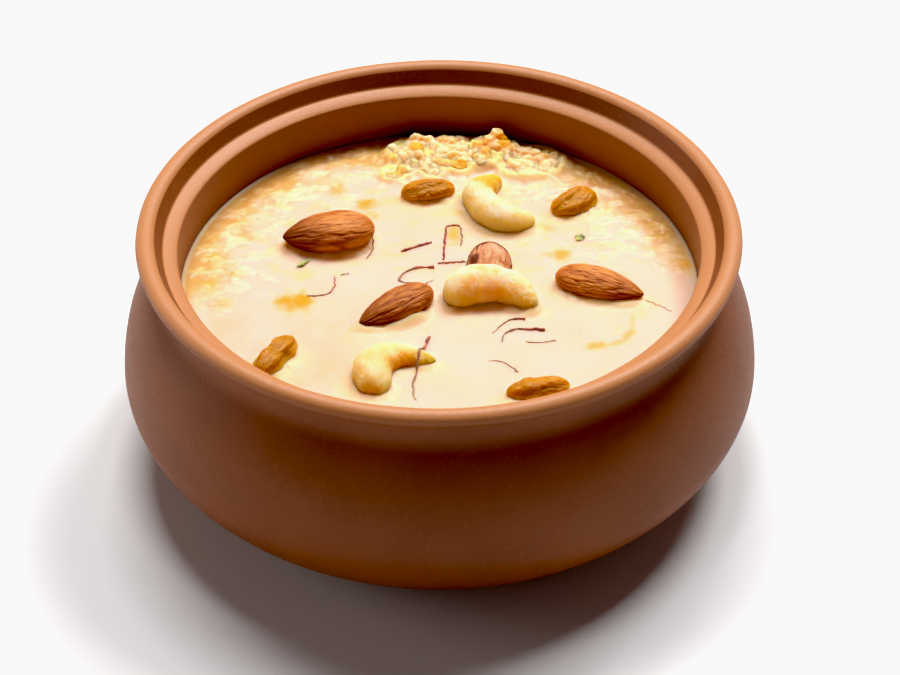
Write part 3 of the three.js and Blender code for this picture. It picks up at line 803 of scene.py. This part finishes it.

# rice and nut under the surface, and in tan also painted shade from the rim and warm light off the clay:
# centre, half sizes, turn and strength
tints = {
    "gold": [
        (-18.9, 33.2, 3.0, 2.4, 20, 0.9), (-26.3, 40.4, 2.4, 2.8, 0, 0.7),
        (-11.2, 46.6, 3.2, 2.0, 15, 0.55), (-35.8, -8.0, 4.6, 4.0, -12, 1.0),
        (-51.2, 3.5, 2.6, 1.6, 0, 0.5), (-49.1, 19.1, 3.8, 1.2, 0, 0.4), (-57.0, 8.6, 2.0, 4.0, 0, 0.6),
        (-57.0, -1.0, 2.0, 4.2, 0, 0.55), (31.4, 10.7, 2.4, 2.6, 0, 0.85), (28.4, 11.2, 2.2, 1.6, 0, 0.45),
        (27.5, 22.3, 2.6, 1.6, 0, 0.45), (62.6, 5.8, 2.2, 3.8, 8, 0.8), (4.0, 20.0, 1.9, 3.8, 0, 0.8),
        (-17.3, 28.4, 2.0, 2.0, 0, 0.45), (-53.6, -8.6, 2.6, 1.8, 0, 0.5),
        (38.6, -26.0, 2.6, 1.8, 10, 0.75), (43.2, -25.0, 2.6, 1.2, 15, 0.55),
        (46.4, -22.0, 1.3, 2.6, -30, 0.6), (47.6, -16.6, 0.9, 3.4, 0, 0.4),
        (-23.0, 24.5, 3.4, 1.6, 10, 0.3), (57.0, 20.8, 2.4, 4.0, 20, 0.35),
    ],
    "lime": [
        (-34.6, 3.2, 3.2, 2.6, 20, 0.55), (-41.2, 33.4, 3.0, 1.4, 10, 0.55),
        (-50.0, 26.0, 2.0, 2.0, 0, 0.3), (40.0, 15.0, 6.0, 1.3, 0, 0.25), (50.2, -13.0, 1.2, 3.4, 0, 0.3),
        (-55.0, 22.0, 1.6, 3.0, 0, 0.3), (29.0, 40.5, 4.0, 1.4, 10, 0.2), (-6.0, 31.0, 5.0, 1.6, 0, 0.15),
        (44.0, -20.0, 4.2, 3.4, 0, 0.22),
    ],
    "tan": [
        (-17.0, 54.5, 9.0, 7.5, 0, 0.85), (-30.0, 48.0, 15.0, 8.0, 30, 0.6),
        (-45.0, 40.0, 6.0, 3.0, 30, 0.5), (37.0, 46.0, 13.0, 7.0, -36, 0.8),
        (46.0, 33.0, 4.6, 7.4, 20, 0.75), (-57.5, 18.0, 4.0, 9.0, -12, 0.75),
        (-32.0, -30.0, 17.0, 15.0, 0, 0.22), (-52.0, -22.0, 7.0, 12.0, 0, 0.25),
    ],
    "pale": [
        (-37.2, 37.4, 5.4, 4.0, 30, 0.9), (-53.4, 17.4, 2.6, 5.0, -10, 0.8),
        (-45.7, 28.0, 4.2, 2.8, 30, 0.8), (-33.0, 47.6, 4.4, 3.4, 20, 0.8),
        (-24.0, 45.0, 6.0, 3.4, 0, 0.7), (58.0, 13.0, 2.8, 3.6, 20, 0.8), (43.4, 37.6, 4.4, 2.4, -30, 0.7),
        (22.0, 46.0, 9.0, 5.0, 0, 0.5), (-60.0, -6.0, 2.4, 5.0, 0, 0.5),
    ],
}
# rice that shows at the surface: centre, half sizes, turn, how many grains and how high they stand
riceFields = [
    (-32.5, 44.5, 20.0, 8.0, 34, 120, 0.32), (-55.0, 8.0, 6.0, 22.0, 0, 80, 0.26),
    (6.0, 50.0, 26.0, 10.0, 0, 150, 0.5), (38.0, 42.0, 16.0, 7.0, -38, 80, 0.34),
    (53.0, 22.0, 7.0, 20.0, 16, 90, 0.34), (24.0, 40.0, 10.0, 8.0, 0, 50, 0.3),
    (46.0, -20.0, 8.0, 8.0, 0, 12, 0.1), (30.0, 16.0, 10.0, 8.0, 0, 22, 0.12),
    (-24.0, 34.0, 12.0, 8.0, 0, 40, 0.22), (-44.0, 26.0, 9.0, 9.0, 0, 34, 0.22),
]
# where milk laps higher over a nut: centre, half sizes and how much more
washes = [(-5.4, -17.0, 4.4, 2.8, 1.6), (-12.0, -28.5, 7.0, 2.6, 1.0), (16.0, 24.5, 6.0, 2.6, 0.5)]


def ovals(rows):  # rows start with a middle and two half sizes
    for x, y, halfX, halfY, *rest in rows:
        yield ((x, y), (halfX, halfY), *rest)


def ovalReach(x, y, centre, halves, turn=0):
    angle = math.radians(turn)
    dx, dy = x - centre[0], y - centre[1]
    u = (dx * math.cos(angle) + dy * math.sin(angle)) / halves[0]
    v = (dy * math.cos(angle) - dx * math.sin(angle)) / halves[1]
    return np.hypot(u, v)


def drawIn(draw, centre, halves, turn=0, spread=1):  # a random place in a turned oval, and how far out it is
    angle, reach = draw.uniform(0, 2 * math.pi), spread * math.sqrt(draw.random())
    u, v = halves[0] * reach * math.cos(angle), halves[1] * reach * math.sin(angle)
    tilt = math.radians(turn)
    x = centre[0] + u * math.cos(tilt) - v * math.sin(tilt)
    y = centre[1] + u * math.sin(tilt) + v * math.cos(tilt)
    return x, y, reach


def lump(name, place, halves, turn=(0, 0, 0), fine=(10, 8)):
    return newBall(name, fine, location=[value * mm for value in place],
                   scale=[value * mm for value in halves], rotation=turn)


def makeHeap():
    draw = random.Random(heap["seed"])
    lumps = []
    for centre, halves, rise, count in ovals(heap["mounds"]):
        lumps.append(lump("mound", (*centre, milkLevel), (*halves, rise), fine=(32, 16)))
        for _ in range(count):
            x, y, reach = drawIn(draw, centre, halves, spread=heap["spread"])
            size = draw.uniform(0.6, 1.0)
            z = milkLevel + rise * math.sqrt(1 - reach ** 2) - heap["sunk"]
            if math.hypot(x, y) < heap["within"]:
                long, wide = heap["grain"][0] / 2 * size, heap["grain"][1] / 2 * size
                turn = (draw.uniform(0.8, 2.1), draw.uniform(-0.4, 0.4), draw.uniform(0, math.pi))
                lumps.append(lump("grain", (x, y, z), (wide, wide * draw.uniform(0.8, 1.1), long), turn))
    for place, halves, rise, _ in ovals(heap["lumps"]):
        deep = 0.6 * rise + 0.6
        tilt = (draw.uniform(-0.25, 0.25), draw.uniform(-0.25, 0.25), 0)
        wide = (1.12 * halves[0], 1.12 * halves[1], deep)
        lumps.append(lump("lump", (*place, milkLevel + rise - deep), wide, tilt, (16, 12)))
    piece = joinPieces(lumps, "riceHeap")
    bpy.ops.object.transform_apply(location=True, rotation=True, scale=True)
    applyModifier(piece, "REMESH", mode="VOXEL", voxel_size=heap["voxel"] * mm)
    applyModifier(piece, "SMOOTH", factor=0.5, iterations=16)
    points = pointsOf(piece)
    rough = heap["puffed"]
    for depth, size, shift, octaves in heap["rough"]:
        rough = rough + depth * noiseAt(points, size, shift, octaves)
    movePoints(piece, points + normalsOf(piece) * rough[:, None])
    # painted shade, golden, in the hollows, along the wall and at the foot; the golden lumps of the table are
    # their own colour
    hollow = cavityOf(piece, 10)
    blobs = noiseAt(points, 2.8, 8.0)
    gold = 0.5 * softStep(0.04, 0.3, hollow + 0.08 * blobs)
    for place, halves, _, golden in ovals(heap["lumps"]):
        away = ovalReach(points[:, 0], points[:, 1], place, halves) + 0.35 * blobs
        gold = np.maximum(gold, golden * softStep(1.3, 0.5, away))
    shadeByWall = 0.5 * softStep(59.5, 62.5, np.hypot(points[:, 0], points[:, 1]))
    foot = 0.4 * softStep(1.5, 0.3, points[:, 2] - milkLevel)
    gold = np.maximum(np.maximum(gold, shadeByWall), foot)
    paint(piece, "gold", gold)
    # painted highlight: paler on the rounded tops
    paint(piece, "pale", 0.9 * softStep(0.05, -0.12, hollow) * (1 - gold))
    smoothShade(piece)
    curdLook().cover(piece)
    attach(piece, "root")
    return piece


riceHeap = makeHeap()
print("heap", len(riceHeap.data.polygons))


def roundGrid(cells):  # a square grid drawn out to a disc of radius 1
    piece = addPiece(bpy.ops.mesh.primitive_grid_add, "kheerMilk", size=2.0,
                     x_subdivisions=cells, y_subdivisions=cells)
    flat = pointsOf(piece) * mm
    x, y = flat[:, 0].copy(), flat[:, 1].copy()
    flat[:, 0] = x * np.sqrt(1 - y * y / 2)
    flat[:, 1] = y * np.sqrt(1 - x * x / 2)
    movePoints(piece, flat / mm)
    return piece


def scatterGrains(draw):  # place, turn and height of every grain that shows at the surface
    grains = []
    for centre, halves, turn, count, rise in ovals(riceFields):
        for _ in range(count):
            x, y, _ = drawIn(draw, centre, halves, turn)
            size = draw.uniform(0.7, 1.25)
            heading = draw.uniform(0, 180)
            lift = rise * draw.uniform(0.3, 1.0)
            if math.hypot(x, y) < kheer["within"]:
                grains.append((x, y, heading, size, lift))
    return grains


def surfaceOf(piece):
    vertices, faces = piece.data.vertices, piece.data.polygons
    return BVHTree.FromPolygons([v.co for v in vertices], [p.vertices for p in faces])


def plumb(surface, x, y, start, way):  # how high a plumb line meets a surface, or None
    hit = surface.ray_cast(Vector((x * mm, y * mm, start)), Vector((0, 0, way)))[0]
    return None if hit is None else hit.z / mm


def milkBeside(piece, x, y):  # each milk vertex near a piece, and how the piece lies to it
    surface = surfaceOf(piece)
    low, high = pointsOf(piece).min(0), pointsOf(piece).max(0)
    close = (x > low[0] - 5) & (x < high[0] + 5) & (y > low[1] - 7) & (y < high[1] + 5)
    for i in np.nonzero(close)[0]:
        nearest, _, _, away = surface.find_nearest(Vector((x[i], y[i], milkLevel)) * mm)
        under, over = plumb(surface, x[i], y[i], 0, 1), plumb(surface, x[i], y[i], 0.1, -1)
        yield i, nearest.y / mm, away / mm, under, over


def lapUp(top, z):  # the milk laps up nuts and heap, with painted warm light there over their shadows
    x, y = top[:, 0], top[:, 1]
    lap = 1 + 0.4 * noiseAt(top, 3.0, 41.0)
    for centre, halves, more in ovals(washes):
        lap += more * np.exp(-ovalReach(x, y, centre, halves) ** 2)
    glow = np.zeros(len(top))
    for nut, table in zip(nuts, [*almonds, *cashews, *raisins]):
        climb = max(kheer["least"], kheer["climb"][0] + kheer["climb"][1] * table["rise"])
        for i, nearestY, away, under, over in milkBeside(nut, x, y):
            if under is not None and under < milkLevel < over:
                if z[i] < over and away > kheer["overhang"]:
                    z[i] = under - kheer["tuck"]
            else:
                z[i] += climb * lap[i] * math.exp(-(away / kheer["reach"]) ** 2)
                # painted light: a warm glow on the near side of the nut, where its shadow falls
                front = min(1, max(0, 0.35 + (nearestY - y[i]) / 1.5))
                glow[i] = max(glow[i], front * math.exp(-away / kheer["glow"]))
    rise, reach = kheer["heapClimb"]
    for i, _, away, under, _ in milkBeside(riceHeap, x, y):
        z[i] += rise * math.exp(-(away / reach) ** 2)
        glow[i] = max(glow[i], 1 if under is not None else math.exp(-away / reach))
    return glow


def fillBowl():  # the milk as a plain body, and how many vertices its top has
    piece = roundGrid(kheer["cells"])
    topCount = len(piece.data.vertices)
    rings = [(milkRadius, milkLevel)] + innerRings(kheer["wallGap"])
    flat = pointsOf(piece) * mm * milkRadius
    flat[:, 2] = milkLevel
    movePoints(piece, flat)
    pickOnly(piece)
    bpy.ops.object.mode_set(mode="EDIT")
    bpy.ops.mesh.select_mode(type="EDGE")
    bpy.ops.mesh.select_all(action="DESELECT")
    bpy.ops.mesh.select_non_manifold(extend=False)
    for before, after in zip(rings, rings[1:]):
        pullRing(before, after)
    bpy.ops.mesh.edge_face_add()
    bpy.ops.object.mode_set(mode="OBJECT")
    turnOutward(piece)
    return piece, topCount


def makeMilk():
    piece, topCount = fillBowl()
    points = pointsOf(piece)
    top = points[:topCount].copy()
    x, y = top[:, 0], top[:, 1]
    fromWall = milkRadius - np.hypot(x, y)
    blur = noiseAt(top, 3.2, 17.0, 3)

    def spots(kind, outer=1.35):  # soft patches with uneven edges
        found = np.zeros(topCount)
        for centre, halves, turn, strength in ovals(tints[kind]):
            away = ovalReach(x, y, centre, halves, turn) + 0.5 * blur
            found = np.maximum(found, strength * softStep(outer, 0.25, away))
        return found

    gold, lime, tanSpots, paleSpots = spots("gold"), spots("lime"), spots("tan"), spots("pale")
    streaks = noiseAt(top * (0.6, 1, 1), 3.4, 63.0, 3) * softStep(-10, 16, y)
    lime = np.maximum(np.maximum(lime, 0.6 * spots("gold", 1.9)), 0.35 * softStep(0.1, 0.4, streaks))
    angle = np.degrees(np.arctan2(y, x)) % 360
    angle[angle > 300] -= 360
    first, last = kheer["band"]
    along = softStep(first, first + 14, angle) * softStep(last, last - 18, angle)
    ragged = kheer["bandWidth"] * (1 + 0.35 * noiseAt(top, 9.0, 31.0))
    curd = softStep(0.0, 0.35, noiseAt(top * (0.8, 1, 1), 3.8, 55.0, 3)) * along
    curd *= softStep(2.0, 1.2, fromWall / ragged)
    curd *= softStep(0.8, 2.5, fromWall)
    swell = np.zeros(topCount)
    for centre, halves, height, _ in ovals(heap["mounds"]):
        swell = np.maximum(swell, (height - 0.6) * softStep(1.35, 0.5, ovalReach(x, y, centre, halves)))
    lifts, (swellHigh, swellSize) = kheer["lifts"], kheer["swell"]
    z = milkLevel + swellHigh * noiseAt(top, swellSize, 2.0)
    z = z + lifts["gold"] * gold + lifts["pale"] * paleSpots + lifts["curd"] * curd + swell
    grains = np.zeros(topCount)
    for gx, gy, heading, size, lift in scatterGrains(random.Random(kheer["seed"])):
        halves = (kheer["grain"][0] / 2 * size, kheer["grain"][1] / 2 * size)
        near = np.abs(x - gx) + np.abs(y - gy) < 2 * halves[0]
        away = ovalReach(x[near], y[near], (gx, gy), halves, heading)
        grains[near] = np.maximum(grains[near], lift * np.maximum(0, 1 - 0.6 * away ** 2) ** 2)
    z += grains * (1 + 0.5 * swell)
    rise, reach = kheer["wallRise"]
    z += rise * np.exp(-fromWall / reach)
    glow = lapUp(top, z)
    points[:topCount, 2] = z
    movePoints(piece, points)

    # painted shade: a warm tint where the rim's shadow falls along the wall, with warm light off the clay and
    # the milk's own colour; over the heap's swell tan and gold are painted warm shade too
    rimShadow = softStep(1.0, 0.25, fromWall / ragged)
    mottle = np.clip(0.9 + 0.65 * noiseAt(top, 6.0, 21.0), 0.2, 1.2)
    onHeap = softStep(0.3, 1.6, swell)
    tan = np.maximum(1.35 * along * rimShadow, 1.1 * tanSpots)
    tan = tan * mottle * (1 - 0.6 * paleSpots) * (1 - 0.25 * curd)
    # film is a painted highlight: a pale line along the wall where the meniscus catches the light
    painted = {
        "tan": np.clip(np.maximum(tan, 0.8 * onHeap), 0, 0.95), "gold": np.maximum(gold, 0.35 * onHeap),
        "lime": lime, "glow": 0.9 * glow, "film": 0.8 * softStep(1.4, 0.7, fromWall),
        "pale": np.clip(0.6 * paleSpots + 0.3 * curd + 0.5 * grains * mottle, 0, 0.9) * (1 - onHeap),
    }
    for name, values in painted.items():
        paint(piece, name, np.concatenate((values, np.zeros(len(points) - topCount))))
    smoothShade(piece)
    return piece


kheerMilk = makeMilk()
kheerLook().cover(kheerMilk)
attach(kheerMilk, "root")
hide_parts("kheer")
print("milk", len(kheerMilk.data.polygons))

threadForm = {"bridge": 40, "sway": (0.4, 0.3), "lift": 0.12, "uneven": 0.8}
# route on the surface, thickness at both ends, and how far it has lost its colour there
threads = [
    ([(-9.7, 12.8), (-5.9, 14.9), (-2, 16.7)], (0.7, 0.85), (0.0, 0.25)),
    ([(-1.4, 6), (-5.6, 5.8), (-9.4, 3), (-9.7, 0.2), (-6.7, -0.5)], (0.95, 0.3), (0.0, 1.0)),
    ([(-4.5, -1.5), (-1.3, 0.9)], (0.25, 0.25), (1.0, 1.0)),
    ([(2, 23.6), (1.4, 16.5), (1.2, 9.4)], (0.55, 0.6), (0.1, 0.1)),
    ([(2, 23.6), (4.9, 23.4), (5.9, 19), (5.5, 15.3)], (0.6, 0.35), (0.2, 0.9)),
    ([(0, 7.9), (2.4, 7.95), (4.6, 8.0), (6.9, 7.9)], (0.6, 0.75), (0.35, 0.1)),
    ([(13.1, -20.6), (16.6, -16.2), (18.2, -15.4), (21.3, -15.5)], (0.3, 0.65), (0.9, 0.1)),
    ([(15.1, -24.5), (16.1, -21), (19, -19.3), (22.1, -19.4), (25.9, -19.7)], (0.3, 0.95), (0.9, 0.0)),
    ([(20.9, -24.2), (24.8, -24.6), (28.5, -23.7)], (0.35, 0.3), (1.0, 1.0)),
    ([(11.9, -31.5), (14.9, -31.9), (16.8, -33.3), (18.8, -35.9)], (0.2, 0.5), (1.0, 0.6)),
    ([(-2.5, -22.2), (-3.6, -26.5), (-4.6, -30.5), (-5.2, -33.5), (-5.8, -37), (-6.6, -42), (-5.7, -46.4)],
     (0.85, 0.35), (0.15, 0.95)),
    ([(-26.4, 2.2), (-26.2, -0.5), (-27.6, -4.4), (-32.9, -5.8)], (0.4, 0.45), (0.1, 1.0)),
    ([(-17.1, 15.4), (-16.8, 13.7), (-18.4, 9.7)], (0.35, 0.3), (0.8, 0.9)),
    ([(51.3, -8.6), (54.6, -10), (57.6, -12.8)], (0.2, 0.2), (1.0, 1.0)),
    ([(-24.8, 3.0), (-23.8, 3.5), (-22.8, 3.6)], (0.35, 0.3), (1.0, 1.0)),
]
# middle, length, width and turn
slivers = [((-34.35, 8.1), 6.2, 1.8, 50), ((36.0, 18.3), 3.4, 2.6, 60)]

covered = [surfaceOf(piece) for piece in [kheerMilk, riceHeap, *nuts]]


def heightAt(x, y):
    hits = [plumb(surface, x, y, 0.1, -1) for surface in covered]
    return max(hit for hit in hits if hit is not None)


def makeThread(index, route, ends, faded):
    count = 8 * len(route)
    path = smoothRoute(route, count)
    share = np.linspace(0, 1, count)
    height = np.array([heightAt(x, y) for x, y, _ in path])
    for _ in range(threadForm["bridge"]):  # a thread bridges the steps of what it lies on
        height[1:-1] = np.maximum(height[1:-1], 0.5 * height[1:-1] + 0.25 * (height[:-2] + height[2:]))
    thick = ends[0] + (ends[1] - ends[0]) * share
    curve = bpy.data.curves.new(f"thread{index}", "CURVE")
    curve.dimensions = "3D"
    curve.bevel_depth = 0.5 * mm
    curve.bevel_resolution = 2
    curve.use_fill_caps = True
    line = curve.splines.new("POLY")
    line.points.add(count - 1)
    for i, (x, y, _) in enumerate(path):
        wander = noise.noise(Vector((index * 3.1, share[i] * 9, 0)))
        swayX, swayY = threadForm["sway"]
        lift = threadForm["lift"] * thick[i]
        place = np.array((x + swayX * wander, y + swayY * wander, height[i] + lift)) * mm
        line.points[i].co = (*place, 1)
        uneven = threadForm["uneven"] * noise.noise(Vector((index * 5.3, share[i] * 11, 2)))
        line.points[i].radius = thick[i] * (0.95 + uneven)
    piece = bpy.data.objects.new(f"thread{index}", curve)
    bpy.context.scene.collection.objects.link(piece)
    pickOnly(piece)
    bpy.ops.object.convert(target="MESH")
    piece = bpy.context.active_object
    points = pointsOf(piece)
    nearest = np.argmin(np.hypot(points[:, 0, None] - path[:, 0], points[:, 1, None] - path[:, 1]), axis=1)
    tone = faded[0] + (faded[1] - faded[0]) * share[nearest]
    paint(piece, "faded", tone + 0.25 * noiseAt(points, 2.0, 3.0 * index))
    return piece


saffron = joinPieces([makeThread(i, *thread) for i, thread in enumerate(threads)], "saffronThreads")
smoothShade(saffron)
threadLook().cover(saffron)
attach(saffron, "root")


def makeSliver(middle, length, width, turn):
    piece = addPiece(bpy.ops.mesh.primitive_cube_add, "sliver", size=1.0,
                     location=(middle[0] * mm, middle[1] * mm, (heightAt(*middle) + 0.1) * mm),
                     rotation=(0, 0, math.radians(turn)), scale=(length * mm, width * mm, 0.8 * mm))
    bpy.ops.object.transform_apply(location=True, rotation=True, scale=True)
    applyModifier(piece, "SUBSURF", levels=4, render_levels=4)
    points = pointsOf(piece)
    movePoints(piece, points + normalsOf(piece) * (0.35 * noiseAt(points, 1.4, 6.0))[:, None])
    return piece


pistachio = joinPieces([makeSliver(*sliver) for sliver in slivers], "pistachioSlivers")
smoothShade(pistachio)
sliverLook().cover(pistachio)
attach(pistachio, "root")
print("saffron and pistachio")
